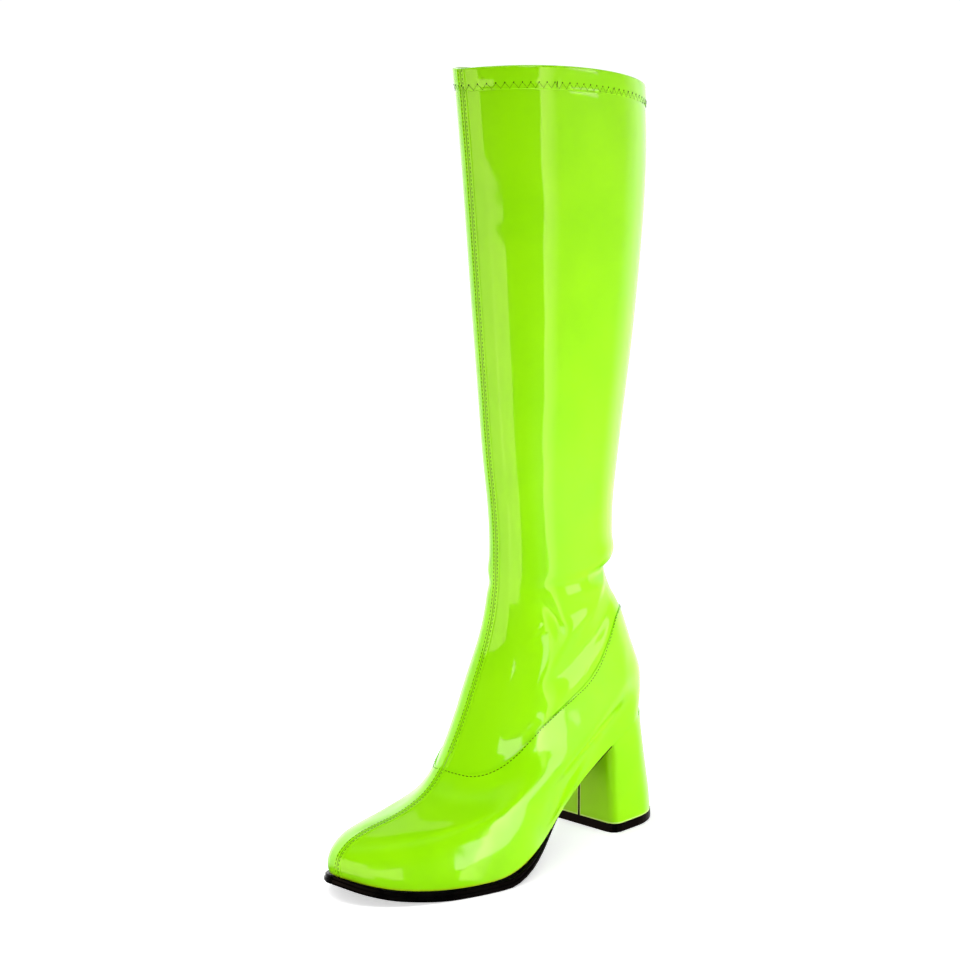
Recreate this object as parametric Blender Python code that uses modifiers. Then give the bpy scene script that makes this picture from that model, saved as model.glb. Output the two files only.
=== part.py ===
import bmesh
import bpy
import numpy as np
from mathutils import Matrix

# Go go boot, left foot. The origin is on the floor under the middle of the heel.
# -Y runs toward the toe, +X is the outer side of the leg and +Z is up. Sizes are in metres.

# Foot
FOOT_LENGTH = 0.2235        # toe tip to the back of the heel seat, at the sole's edge
BALL_WIDTH = 0.0800
SEAT_WIDTH = 0.0520
TOE_SWING = 0.0100          # how far the toe bends toward the inner side
SWING_LENGTH = 0.1900
TOE_BOX_HEIGHT = 0.0224
VAMP_LENGTH = 0.0730        # toe tip to where the side seam meets the front seam
VAMP_HEIGHT = 0.0537
INSTEP_WIDTH = 0.0576
COUNTER_HEIGHT = 0.0630     # heel seat to the top of the side seam at the back
COUNTER_LEAN = 0.0170

# Leg
ANKLE_HEIGHT = 0.2000
ANKLE_DEPTH = 0.0929
ANKLE_WIDTH = 0.0492
ACHILLES_CREASE = 0.0085
LEG_SETBACK = 0.0504        # middle of the leg in front of the heel's middle
BOOT_HEIGHT = 0.4380
COLLAR_DEPTH = 0.1400
COLLAR_WIDTH = 0.0664
COLLAR_BACKSET = 0.0015
COLLAR_DIP = 0.0095
COLLAR_ARCH = 0.0055

# Wall
GAP = 0.0003
FEATHER_GAP = 0.0005        # between the upper's lower edge and the bed, before facets close it
WALL = 0.0016
SEAM_STEP = 0.0005
FRONT_BAND = 0.0048
FRONT_BAND_STEP = 0.0004
HEM_HEIGHT = 0.0120
HEM_STEP = 0.0005

# Sole, insole and heel
SOLE_THICKNESS = 0.0052
SHANK_THICKNESS = 0.0020
SOLE_LIP = 0.0028
SHANK_LIP = -0.0008
SOLE_ROUND = 0.0009
WELT_STEP = 0.0007
TOE_SPRING = 0.0074
HEEL_HEIGHT = 0.0690        # floor to the back of the heel seat
HEEL_BASE_DEPTH = 0.0495
HEEL_BASE_WIDTH = 0.0560
HEEL_TOP_WIDTH = 0.0486
HEEL_RAKE = 0.0097          # how far the heel's base stands behind the seat
HEEL_CORNER = 0.0060
LIFT_THICKNESS = 0.0052
LIFT_REVEAL = 0.0003
LIFT_ROUND = 0.0006
INSOLE_THICKNESS = 0.0020
INSOLE_CLEARANCE = 0.0012

# Mesh density
SIDE_COLUMNS = 18
SOLE_COLUMNS = 44
HEEL_COLUMNS = 13

BREAST_Y = -HEEL_BASE_DEPTH / 2
SEAT_BACK_Y = HEEL_BASE_DEPTH / 2 - HEEL_RAKE
TOE_Y = SEAT_BACK_Y - FOOT_LENGTH
SEAT_RISE = HEEL_HEIGHT - SOLE_THICKNESS


def columns(names, rows):
    # A table as a dictionary of named columns
    return dict(zip(names.split(), np.array(rows, float).T))


def smooth(xs, ys):
    # Natural cubic spline through the rows of ys at the places xs
    xs, ys = np.asarray(xs, float), np.asarray(ys, float)
    steps = np.diff(xs)
    slopes = np.diff(ys, axis=0) / steps.reshape((-1,) + (1,) * (ys.ndim - 1))
    system = np.eye(len(xs))
    target = np.zeros(ys.shape)
    for i in range(1, len(xs) - 1):
        system[i, i - 1:i + 2] = steps[i - 1], 2 * (steps[i - 1] + steps[i]), steps[i]
        target[i] = 6 * (slopes[i] - slopes[i - 1])
    bend = np.linalg.solve(system, target)

    def value(x):
        x = np.asarray(x, float)
        i = np.clip(np.searchsorted(xs, x) - 1, 0, len(xs) - 2)
        past, left, step = x - xs[i], xs[i + 1] - x, steps[i]
        if ys.ndim > 1:
            past, left, step = past[..., None], left[..., None], step[..., None]
        curved = (bend[i] * left**3 + bend[i + 1] * past**3) / (6 * step)
        return (curved + (ys[i] / step - bend[i] * step / 6) * left
                + (ys[i + 1] / step - bend[i + 1] * step / 6) * past)

    return value


# The bed that the foot stands on: along is a share of the foot's length from the toe,
# spring a share of the toe spring and rise a share of the way up to the heel seat
BED = columns("along spring rise", [
    (-0.020, 1.35, 0.000),
    (0.000, 1.00, 0.000),
    (0.025, 0.70, 0.000),
    (0.060, 0.42, 0.000),
    (0.105, 0.22, 0.000),
    (0.163, 0.04, 0.000),
    (0.190, 0.00, 0.000),
    (0.239, -0.03, 0.000),
    (0.298, 0.00, -0.004),
    (0.351, 0.00, 0.004),
    (0.396, 0.00, 0.044),
    (0.450, 0.00, 0.113),
    (0.508, 0.00, 0.188),
    (0.575, 0.00, 0.287),
    (0.642, 0.00, 0.407),
    (0.709, 0.00, 0.542),
    (0.781, 0.00, 0.686),
    (0.843, 0.00, 0.804),
    (0.897, 0.00, 0.887),
    (0.946, 0.00, 0.946),
    (1.000, 0.00, 1.000),
    (1.049, 0.00, 1.040),
])
bed_rise = smooth(BED["along"], np.stack([BED["spring"], BED["rise"]], 1))

# The sole's outline round its middle line: angle from the toe, then the half widths
# of the outer and inner sides as shares of the ball's and the seat's width
OUTLINE = columns("angle outer_ball inner_ball outer_seat inner_seat", [
    (0, 0.650, 0.625, 0.000, 0.000),
    (20, 0.647, 0.605, 0.000, 0.000),
    (45, 0.631, 0.512, 0.000, 0.000),
    (60, 0.619, 0.460, 0.000, 0.000),
    (75, 0.595, 0.405, 0.000, 0.000),
    (90, 0.479, 0.352, 0.000, 0.000),
    (105, 0.230, 0.200, 0.210, 0.192),
    (120, 0.000, 0.000, 0.569, 0.554),
    (135, 0.000, 0.000, 0.713, 0.702),
    (150, 0.000, 0.000, 0.923, 0.913),
    (165, 0.000, 0.000, 0.965, 0.961),
    (180, 0.000, 0.000, 0.971, 0.971),
])
OUTLINE_HALVES = np.stack([
    OUTLINE["outer_ball"] * BALL_WIDTH + OUTLINE["outer_seat"] * SEAT_WIDTH,
    OUTLINE["inner_ball"] * BALL_WIDTH + OUTLINE["inner_seat"] * SEAT_WIDTH], 1)
outline_halves = smooth(np.radians(OUTLINE["angle"]), OUTLINE_HALVES)

# The side seam: round is the share of the way from the front to the back of the boot,
# high the share of the way up from the seam's back end to its front end
SIDE_SEAM = columns("round high", [
    (0.00, 1.00),
    (0.03, 1.02),
    (0.10, 0.99),
    (0.18, 0.90),
    (0.25, 0.79),
    (0.33, 0.68),
    (0.41, 0.60),
    (0.50, 0.52),
    (0.59, 0.45),
    (0.67, 0.35),
    (0.75, 0.20),
    (0.81, 0.06),
    (0.89, -0.03),
    (1.00, 0.00),
])
seam_height = smooth(SIDE_SEAM["round"], SIDE_SEAM["high"])

# Loops from the sole's edge up to the side seam. forward, back and up are shares of the way
# to the seam, box of the toe box, last tells how far a loop keeps the sole's outline, seam how
# far it has taken the seam's line; wide is a share of the instep's width, full_front and
# full_back widen a loop toward its ends, and inner is what the inner side is short of the outer
FOOT_LOOPS = columns("forward box rise back up last seam wide inner full_front full_back", [
    (0.000, 0.000, 0.000, 0.000, 0.000, 1.00, 0.00, 1.02, 0.00, 0.60, 0.60),
    (-0.018, 0.286, 0.000, -0.045, 0.095, 1.02, 0.00, 1.04, 0.00, 0.60, 0.60),
    (0.030, 0.598, 0.000, -0.080, 0.190, 0.95, 0.10, 1.06, 0.03, 0.60, 0.60),
    (0.171, 0.866, 0.000, -0.070, 0.286, 0.60, 0.22, 1.09, 0.36, 0.62, 0.55),
    (0.336, 1.000, 0.000, -0.020, 0.381, 0.34, 0.36, 1.12, 0.46, 0.64, 0.50),
    (0.500, 1.000, 0.083, 0.100, 0.476, 0.19, 0.50, 1.12, 0.45, 0.62, 0.45),
    (0.658, 1.000, 0.220, 0.270, 0.571, 0.10, 0.64, 1.09, 0.40, 0.58, 0.40),
    (0.808, 1.000, 0.430, 0.480, 0.690, 0.05, 0.78, 1.06, 0.33, 0.52, 0.35),
    (0.918, 1.000, 0.700, 0.720, 0.841, 0.02, 0.90, 1.03, 0.28, 0.47, 0.30),
    (1.000, 1.000, 1.000, 1.000, 1.000, 0.00, 1.00, 1.02, 0.24, 0.42, 0.25),
])

# Loops from the side seam up to the ankle, as shares of the way, and crease of the Achilles crease
INSTEP_LOOPS = columns("forward rise up crease seam wide inner full_front full_back", [
    (0.220, 0.092, 0.118, 0.52, 0.92, 0.16, 0.19, 0.34, 0.18),
    (0.443, 0.209, 0.257, 1.00, 0.75, 0.38, 0.15, 0.26, 0.10),
    (0.648, 0.333, 0.368, 0.66, 0.55, 0.58, 0.10, 0.16, 0.05),
    (0.821, 0.440, 0.471, 0.36, 0.38, 0.80, 0.07, 0.08, 0.02),
    (0.977, 0.589, 0.588, 0.26, 0.20, 0.93, 0.03, 0.00, 0.00),
    (1.041, 0.745, 0.765, 0.17, 0.08, 1.03, 0.00, -0.04, 0.00),
    (1.000, 1.000, 1.000, 0.00, 0.00, 1.00, 0.00, -0.06, 0.00),
])

# Loops from the ankle up to the collar, as shares of the way
LEG_LOOPS = columns("forward rise back up wide flat", [
    (0.140, 0.100, 0.170, 0.114, 0.18, -0.08),
    (0.286, 0.252, 0.420, 0.263, 0.41, -0.10),
    (0.427, 0.408, 0.680, 0.420, 0.64, -0.10),
    (0.569, 0.567, 0.900, 0.582, 0.78, -0.10),
    (0.718, 0.735, 1.070, 0.748, 0.91, -0.10),
    (0.875, 0.891, 1.100, 0.897, 0.98, -0.10),
    (1.000, 1.000, 1.000, 1.000, 1.00, -0.10),
])


def bed(y):
    share = bed_rise((y - TOE_Y) / FOOT_LENGTH)
    return SOLE_THICKNESS + share[..., 0] * TOE_SPRING + share[..., 1] * SEAT_RISE


def swing(y):
    # The foot's middle line bends inward from the heel's breast to the toe
    ahead = np.clip(BREAST_Y - y, 0, None) / SWING_LENGTH
    return -TOE_SWING * ahead**2


def way(start, end, share):
    return start + (end - start) * share


def upper_loops():
    # One row a loop: front y, front z, back y, back z, outer, inner, the two fullnesses,
    # last, seam and the share of the collar's arch
    seam_front = np.array([TOE_Y + VAMP_LENGTH, bed(TOE_Y + VAMP_LENGTH) + VAMP_HEIGHT])
    seam_back = np.array([SEAT_BACK_Y - COUNTER_LEAN, HEEL_HEIGHT + COUNTER_HEIGHT])
    ankle_front = np.array([-LEG_SETBACK - ANKLE_DEPTH / 2, ANKLE_HEIGHT])
    ankle_back = np.array([-LEG_SETBACK + ANKLE_DEPTH / 2, ANKLE_HEIGHT])
    collar_front = np.array([-LEG_SETBACK - COLLAR_BACKSET - COLLAR_DEPTH / 2, BOOT_HEIGHT])
    collar_back = np.array([-LEG_SETBACK - COLLAR_BACKSET + COLLAR_DEPTH / 2, BOOT_HEIGHT - COLLAR_DIP])
    rows = []
    foot = FOOT_LOOPS
    edge = bed(TOE_Y) + FEATHER_GAP
    box_top = edge + foot["box"] * TOE_BOX_HEIGHT
    front_z = box_top + foot["rise"] * (seam_front[1] - edge - TOE_BOX_HEIGHT)
    for i in range(len(foot["rise"])):
        outer = foot["wide"][i] * INSTEP_WIDTH / 2
        rows.append((way(TOE_Y, seam_front[0], foot["forward"][i]), front_z[i],
                     way(SEAT_BACK_Y, seam_back[0], foot["back"][i]),
                     way(HEEL_HEIGHT + FEATHER_GAP, seam_back[1], foot["up"][i]),
                     outer, outer * (1 - foot["inner"][i]),
                     foot["full_front"][i], foot["full_back"][i], foot["last"][i], foot["seam"][i], 0))
    instep = INSTEP_LOOPS
    for i in range(len(instep["rise"])):
        front = way(seam_front, ankle_front, np.array([instep["forward"][i], instep["rise"][i]]))
        back = way(seam_back, ankle_back, instep["up"][i])
        outer = way(INSTEP_WIDTH, ANKLE_WIDTH, instep["wide"][i]) / 2
        rows.append((front[0], front[1], back[0] - instep["crease"][i] * ACHILLES_CREASE, back[1],
                     outer, outer * (1 - instep["inner"][i]),
                     instep["full_front"][i], instep["full_back"][i], 0, instep["seam"][i], 0))
    leg = LEG_LOOPS
    for i in range(len(leg["rise"])):
        front = way(ankle_front, collar_front, np.array([leg["forward"][i], leg["rise"][i]]))
        back = way(ankle_back, collar_back, np.array([leg["back"][i], leg["up"][i]]))
        half = way(ANKLE_WIDTH, COLLAR_WIDTH, leg["wide"][i]) / 2
        arch = np.clip(leg["rise"][i] - 0.6, 0, 1) / 0.4
        rows.append((front[0], front[1], back[0], back[1], half, half, leg["flat"][i], 0, 0, 0, arch**2))
    return np.array(rows)


LOOPS = upper_loops()
FRONT_STEPS = np.linalg.norm(np.diff(LOOPS[:, :2], axis=0), axis=1)
LOOP_PLACES = np.concatenate([[0], np.cumsum(FRONT_STEPS)])
SEAM_PLACE = LOOP_PLACES[len(FOOT_LOOPS["rise"]) - 1]
COLLAR_PLACE = LOOP_PLACES[-1]
loop_at = smooth(LOOP_PLACES, LOOPS)


def upper_point(place, angle):
    # place runs along the front seam from the sole to the collar, angle round the boot from
    # the front, positive on the outer side
    (front_y, front_z, back_y, back_z, outer, inner, full_front, full_back,
     last, seam, arch) = np.moveaxis(loop_at(place), -1, 0)
    round_share = (1 - np.cos(angle)) / 2
    is_outer = np.sin(angle) >= 0
    y = way(front_y, back_y, round_share)
    free = np.where(is_outer, outer, inner)
    free = free * (1 + full_front * (1 - round_share)**2 + full_back * round_share**2)
    turned = np.abs(np.arctan2(np.sin(angle), np.cos(angle)))
    halves = outline_halves(turned)
    lasted = np.where(is_outer, halves[..., 0], halves[..., 1])
    x = swing(y) + way(free, lasted, last) * np.sin(angle)
    on_bed = (bed(y) - bed(back_y)) / (bed(front_y) - bed(back_y))
    level = np.where(place < SEAM_PLACE, on_bed, 1 - round_share)
    high = way(level, seam_height(round_share), seam)
    z = way(back_z, front_z, high) + arch * COLLAR_ARCH * np.abs(np.sin(angle))**1.5
    return np.stack([x, y, z], -1)


def half_angles(place):
    # Angles of one side's columns: the two edges of the front seam's band, then even steps
    half_width = upper_point(np.array(place), np.array(0.1))[0] - swing(loop_at(place)[0])
    per_metre = 0.1 / max(half_width, GAP)
    band = FRONT_BAND / 2 * per_metre
    edge = band + FRONT_BAND_STEP * per_metre
    spread = np.linspace(0, 1, SIDE_COLUMNS + 1)[1:]
    return np.concatenate([[band, edge], way(edge, np.pi, spread)])


def proud(place, column):
    # Steps of the wall: the foot panel laps over the leg, the hem is folded, the front is banded
    height = 0.0
    if place < SEAM_PLACE:
        height += SEAM_STEP
    if place > COLLAR_PLACE - HEM_HEIGHT:
        height += HEM_STEP
    if column <= 1:
        height += FRONT_BAND_STEP
    return height


def upper_places():
    places = []
    for i, start in enumerate(LOOP_PLACES[:-1]):
        places += [start, (start + LOOP_PLACES[i + 1]) / 2]
    places += [COLLAR_PLACE, SEAM_PLACE - SEAM_STEP, COLLAR_PLACE - HEM_HEIGHT + HEM_STEP, COLLAR_PLACE - HEM_HEIGHT]
    return sorted(places)


def upper_grid():
    nudge = 1e-5
    rings = []
    for place in upper_places():
        half = half_angles(place)
        angles = np.concatenate([[0], half, -half[-2::-1]])
        order = list(range(len(half) + 1)) + list(range(len(half) - 1, 0, -1))
        places = np.full(len(angles), place)
        here = upper_point(places, angles)
        around = upper_point(places, angles + nudge) - here
        inside = min(place, COLLAR_PLACE - nudge)
        along = upper_point(places * 0 + inside + nudge, angles) - upper_point(places * 0 + inside, angles)
        out = np.cross(around, along)
        out /= np.linalg.norm(out, axis=1)[:, None]
        lift = np.array([proud(place, column) for column in order])
        raised = here + out * lift[:, None]
        if place == 0:
            raised[:, 2] = here[:, 2]
        rings.append(raised)
    return np.array(rings)


def sole_side(angles, grow, outer):
    # One side of the sole's outline, grown by a margin that may change along it
    round_share = (1 - np.cos(angles)) / 2
    y = way(TOE_Y - grow, SEAT_BACK_Y + grow, round_share)
    half = outline_halves(angles)[:, 0 if outer else 1] + grow
    side = 1 if outer else -1
    return swing(y) + side * half * np.sin(angles), y


def ring_of(outer_side, inner_side, height):
    # A closed ring, forward to back along the outer side and forward again along the inner one
    x = np.concatenate([outer_side[0], inner_side[0][::-1]])
    y = np.concatenate([outer_side[1], inner_side[1][::-1]])
    return np.stack([x, y, height(y)], 1)


def outline_ring(angles, grow, height):
    return ring_of(sole_side(angles, grow, True), sole_side(angles, grow, False), height)


def shank_share(y):
    # 0 under the forefoot, 1 under the shank
    share = np.clip(((y - TOE_Y) / FOOT_LENGTH - 0.40) / 0.22, 0, 1)
    return share * share * (3 - 2 * share)


def sole_thickness(y):
    return way(SOLE_THICKNESS, SHANK_THICKNESS, shank_share(y))


def sole_bottom(y):
    return np.maximum(bed(y) - sole_thickness(y), 0)


def new_object(name, mesh, collection):
    obj = bpy.data.objects.new(name, mesh)
    collection.objects.link(obj)
    return obj


def material(name, colour, roughness, coat=0.0):
    finish = bpy.data.materials.new(name)
    finish.use_nodes = True
    shader = finish.node_tree.nodes["Principled BSDF"]
    shader.inputs["Base Color"].default_value = (*colour, 1)
    shader.inputs["Roughness"].default_value = roughness
    shader.inputs["Metallic"].default_value = 0
    shader.inputs["Coat Weight"].default_value = coat
    finish.diffuse_color = (*colour, 1)
    return finish


def skin_rings(bm, rings):
    # Quads between neighbouring rings
    count = len(rings[0])
    for low, high in zip(rings[:-1], rings[1:]):
        for j in range(count):
            k = (j + 1) % count
            bm.faces.new((low[j], low[k], high[k], high[j]))


def ladder_cap(bm, ring, upward):
    # Rungs across a ring whose two sides have points at the same places along the foot
    count = len(ring)
    for j in range(count // 2 - 1):
        rung = (ring[j], ring[j + 1], ring[count - 2 - j], ring[count - 1 - j])
        bm.faces.new(rung if upward else rung[::-1])


def lofted(name, rings, collection, finish):
    # A closed solid through rings from the lowest to the highest
    bm = bmesh.new()
    verts = [[bm.verts.new(point) for point in ring] for ring in rings]
    skin_rings(bm, verts)
    ladder_cap(bm, verts[0], False)
    ladder_cap(bm, verts[-1], True)
    bmesh.ops.remove_doubles(bm, verts=bm.verts, dist=1e-6)
    bmesh.ops.triangulate(bm, faces=bm.faces)
    mesh = bpy.data.meshes.new(name)
    bm.to_mesh(mesh)
    bm.free()
    mesh.materials.append(finish)
    return new_object(name, mesh, collection)


def shaded_smooth(obj, angle=35):
    obj.data.shade_smooth()
    obj.data.set_sharp_from_angle(angle=np.radians(angle))


def make_upper(collection, finish):
    bm = bmesh.new()
    skin_rings(bm, [[bm.verts.new(point) for point in ring] for ring in upper_grid()])
    mesh = bpy.data.meshes.new("upper")
    bm.to_mesh(mesh)
    bm.free()
    mesh.materials.append(finish)
    upper = new_object("upper", mesh, collection)
    shaded_smooth(upper)
    wall = upper.modifiers.new("Wall", "SOLIDIFY")
    wall.thickness = WALL
    wall.offset = -1
    wall.use_even_offset = True
    return upper


def make_outsole(collection, finish):
    # The sole runs under the foot and stops against the heel's breast
    end = SEAT_BACK_Y - BREAST_Y + GAP
    last_angle = np.arccos(2 * end / FOOT_LENGTH - 1)
    angles = np.linspace(0, last_angle, SOLE_COLUMNS)
    lip = way(SOLE_LIP, SHANK_LIP, shank_share(sole_side(angles, 0, True)[1]))

    def ring(grow, share):
        def height(y):
            return way(sole_bottom(y), bed(y), share)
        made = outline_ring(angles, grow, height)
        for corner in (SOLE_COLUMNS - 1, SOLE_COLUMNS):
            made[corner, 1] = BREAST_Y - GAP
            made[corner, 2] = height(np.array(BREAST_Y - GAP))
        return made

    rings = [
        ring(lip - SOLE_ROUND, 0),
        ring(lip, 0.18),
        ring(lip, 0.52),
        ring(lip - WELT_STEP, 0.60),
        ring(lip - WELT_STEP, 0.90),
        ring(lip - WELT_STEP - SOLE_ROUND / 2, 1),
    ]
    outsole = lofted("outsole", rings, collection, finish)
    shaded_smooth(outsole)
    return outsole


def heel_side(width, depth, corner):
    # One side of the heel's outline, from its flat breast round the corner to its back
    turn = np.linspace(-np.pi / 2, 0, 4)
    straight = depth * 0.43
    corner_x = width / 2 - corner + corner * np.cos(turn)
    corner_y = BREAST_Y + corner + corner * np.sin(turn)
    sweep = np.linspace(0, np.pi / 2, HEEL_COLUMNS)
    back_x = width / 2 * np.cos(sweep) ** 0.92
    back_y = BREAST_Y + straight + (depth - straight) * np.sin(sweep) ** 0.96
    return np.concatenate([corner_x, back_x]), np.concatenate([corner_y, back_y])


def heel_ring(width, depth, height):
    x, y = heel_side(width, depth, HEEL_CORNER)
    return ring_of((x, y), (-x, y), height)


# The heel's flare: high is a share of its height at the side, wide and deep tell how far
# a section has come from the top's size to the base's
HEEL_FLARE = columns("high wide deep", [
    (0.00, 1.00, 1.00),
    (0.20, 0.84, 0.86),
    (0.40, 0.62, 0.60),
    (0.60, 0.40, 0.36),
    (0.80, 0.18, 0.14),
    (1.00, 0.00, 0.00),
])


def make_heel_block(collection, finish):
    base = LIFT_THICKNESS + GAP
    top_depth = HEEL_BASE_DEPTH - HEEL_RAKE + 2 * GAP
    rings = []
    for i, share in enumerate(HEEL_FLARE["high"]):
        width = way(HEEL_TOP_WIDTH, HEEL_BASE_WIDTH, HEEL_FLARE["wide"][i])
        depth = way(top_depth, HEEL_BASE_DEPTH, HEEL_FLARE["deep"][i])
        rings.append(heel_ring(width, depth, lambda y: way(base, bed(y), share)))
    block = lofted("heel_block", rings, collection, finish)
    shaded_smooth(block)
    return block


def make_heel_lift(collection, finish):
    grown = 2 * LIFT_REVEAL
    rings = []
    for inset, height in ((LIFT_ROUND, 0), (0, LIFT_ROUND), (0, LIFT_THICKNESS)):
        width = HEEL_BASE_WIDTH + grown - 2 * inset
        depth = HEEL_BASE_DEPTH + LIFT_REVEAL - inset
        rings.append(heel_ring(width, depth, lambda y: y * 0 + height))
    lift = lofted("heel_lift", rings, collection, finish)
    shaded_smooth(lift)
    return lift


def make_insole(collection, finish):
    angles = np.linspace(0, np.pi, SOLE_COLUMNS)
    grow = -WALL - INSOLE_CLEARANCE
    rings = [outline_ring(angles, grow, lambda y: bed(y) + GAP),
             outline_ring(angles, grow, lambda y: bed(y) + GAP + INSOLE_THICKNESS)]
    insole = lofted("insole", rings, collection, finish)
    shaded_smooth(insole)
    return insole


def main():
    for obj in list(bpy.data.objects):
        bpy.data.objects.remove(obj, do_unlink=True)
    collection = bpy.data.collections.new("go_go_boot")
    bpy.context.scene.collection.children.link(collection)
    patent = material("patent", (0.36, 0.88, 0.02), 0.12, 1.0)
    rubber = material("black_rubber", (0.012, 0.012, 0.013), 0.38)
    sock = material("sock", (0.30, 0.29, 0.27), 0.85)
    boot = bpy.data.objects.new("go_go_boot", None)
    boot.matrix_world = Matrix.Identity(4)
    collection.objects.link(boot)
    for piece in (make_upper(collection, patent), make_outsole(collection, rubber),
                  make_heel_block(collection, patent), make_heel_lift(collection, rubber),
                  make_insole(collection, sock)):
        piece.parent = boot


main()
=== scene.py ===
import bmesh
import bpy
import math
import numpy as np
from mathutils import Matrix, Quaternion, Vector
from mathutils.bvhtree import BVHTree


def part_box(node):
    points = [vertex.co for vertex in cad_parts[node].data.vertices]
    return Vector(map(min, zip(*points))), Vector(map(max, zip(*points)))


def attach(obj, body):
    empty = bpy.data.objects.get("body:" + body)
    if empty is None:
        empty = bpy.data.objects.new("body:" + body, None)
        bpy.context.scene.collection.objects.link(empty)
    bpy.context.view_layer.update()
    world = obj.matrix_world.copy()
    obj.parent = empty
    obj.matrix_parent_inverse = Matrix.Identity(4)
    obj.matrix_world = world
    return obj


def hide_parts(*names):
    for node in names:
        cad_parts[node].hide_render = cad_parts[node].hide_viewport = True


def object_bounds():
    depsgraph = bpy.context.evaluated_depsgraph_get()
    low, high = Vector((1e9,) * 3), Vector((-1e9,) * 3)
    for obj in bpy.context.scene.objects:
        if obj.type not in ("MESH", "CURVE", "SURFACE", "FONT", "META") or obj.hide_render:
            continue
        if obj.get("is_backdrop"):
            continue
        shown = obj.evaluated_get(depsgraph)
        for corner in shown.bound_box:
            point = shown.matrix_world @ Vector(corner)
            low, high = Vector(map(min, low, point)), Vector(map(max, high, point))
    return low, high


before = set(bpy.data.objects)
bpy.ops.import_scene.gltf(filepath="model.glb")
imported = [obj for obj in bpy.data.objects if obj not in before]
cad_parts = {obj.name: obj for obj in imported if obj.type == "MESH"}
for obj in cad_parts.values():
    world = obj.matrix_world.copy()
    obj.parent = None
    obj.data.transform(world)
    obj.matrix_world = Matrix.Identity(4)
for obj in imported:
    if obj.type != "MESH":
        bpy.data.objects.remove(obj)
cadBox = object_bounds()
bpy.ops.object.select_all(action="DESELECT")
print("frame loaded:", sorted(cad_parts))


# Small helpers

def takeUp(piece):
    # Selects one piece alone and makes it the active one
    bpy.ops.object.select_all(action="DESELECT")
    bpy.context.view_layer.objects.active = piece
    piece.select_set(True)


def applied(piece, kind, **settings):
    # Adds a modifier with its settings and applies it
    takeUp(piece)
    step = piece.modifiers.new(kind.title(), kind)
    for name, value in settings.items():
        setattr(step, name, value)
    bpy.ops.object.modifier_apply(modifier=step.name)


def cadCopy(nodeName, name):
    # A copy of a CAD node with its corners joined and its triangles paired into quads again
    piece = bpy.data.objects.new(name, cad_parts[nodeName].data.copy())
    bpy.context.collection.objects.link(piece)
    takeUp(piece)
    bpy.ops.object.mode_set(mode="EDIT")
    bpy.ops.mesh.select_all(action="SELECT")
    bpy.ops.mesh.customdata_custom_splitnormals_clear()
    bpy.ops.mesh.remove_doubles(threshold=1e-6)
    bpy.ops.mesh.tris_convert_to_quads(face_threshold=math.pi, shape_threshold=math.pi,
                                       topology_influence=2)
    bpy.ops.mesh.mark_sharp(clear=True)
    bpy.ops.object.mode_set(mode="OBJECT")
    return piece


def finished(piece, material):
    # Gives a piece its material, its slot and its ride on the boot's one body
    piece.data.materials.clear()
    piece.data.materials.append(material)
    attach(piece, "root")


# The wall's net of corners

netStart = {"rimDepth": 0.009, "frontOf": -0.115, "lean": 0.5}   # finds the collar's foremost corner


def onward(previous, corner):
    # The corner straight ahead, across a crossing of four edges
    here = next(edge for edge in corner.link_edges if previous in edge.verts)
    beside = set(here.link_faces)
    ahead = next(edge for edge in corner.link_edges if not beside & set(edge.link_faces))
    return ahead.other_vert(corner)


def wallNet(piece, s):
    # Rows from the collar down the outside and up the inside again, columns from the front seam
    # round the outer side first
    bm = bmesh.new()
    bm.from_mesh(piece.data)
    rim = [corner for corner in bm.verts
           if corner.co.z > cadBox[1][2] - s["rimDepth"] and corner.co.y < s["frontOf"]]
    start = min(rim, key=lambda corner: corner.co.y - s["lean"] * corner.co.z)
    near = sorted((edge.other_vert(start) for edge in start.link_edges),
                  key=lambda corner: corner.co.x)
    ring = [start, near[-1]]
    while ring[-1] is not start:
        ring.append(onward(ring[-2], ring[-1]))
    ring.pop()
    columns = []
    for corner in ring:
        beside = set(ring) & {edge.other_vert(corner) for edge in corner.link_edges}
        inward = max((edge.other_vert(corner) for edge in corner.link_edges
                      if edge.other_vert(corner) not in beside), key=lambda other: other.co.z)
        path = [inward, corner]
        while path[-1] is not inward or len(path) < 3:
            path.append(onward(path[-2], path[-1]))
        columns.append([step.index for step in path[1:]])
    bm.free()
    return np.array(columns).T


wallCopy = cadCopy("upper", "wall_copy")
net = wallNet(wallCopy, netStart)
print("wall net:", net.shape)


# Nodes

def addNode(tree, kind, values=None, **settings):
    node = tree.nodes.new(kind)
    for name, value in settings.items():
        setattr(node, name, value)
    for name, value in (values or {}).items():
        node.inputs[name].default_value = value
    return node


def wire(tree, out, into):
    tree.links.new(out, into)


def newMaterial(name):
    # A new material with its shader, ready for more nodes
    material = bpy.data.materials.new(name)
    material.use_nodes = True
    tree = material.node_tree
    return material, tree, tree.nodes["Principled BSDF"]


def newGroup(name, inputs, outputs):
    # A node group with named sockets: {"Scale": 40.0} for numbers, outputs as {"Height": "Float"}
    group = bpy.data.node_groups.new(name, "ShaderNodeTree")
    for label, value in inputs.items():
        socket = group.interface.new_socket(name=label, in_out="INPUT",
                                            socket_type="NodeSocketFloat")
        socket.default_value = value
    for label, kind in outputs.items():
        group.interface.new_socket(name=label, in_out="OUTPUT", socket_type="NodeSocket" + kind)
    return group, group.nodes.new("NodeGroupInput"), group.nodes.new("NodeGroupOutput")


def useGroup(tree, group, **values):
    node = tree.nodes.new("ShaderNodeGroup")
    node.node_tree = group
    for name, value in values.items():
        node.inputs[name].default_value = value
    return node


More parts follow.
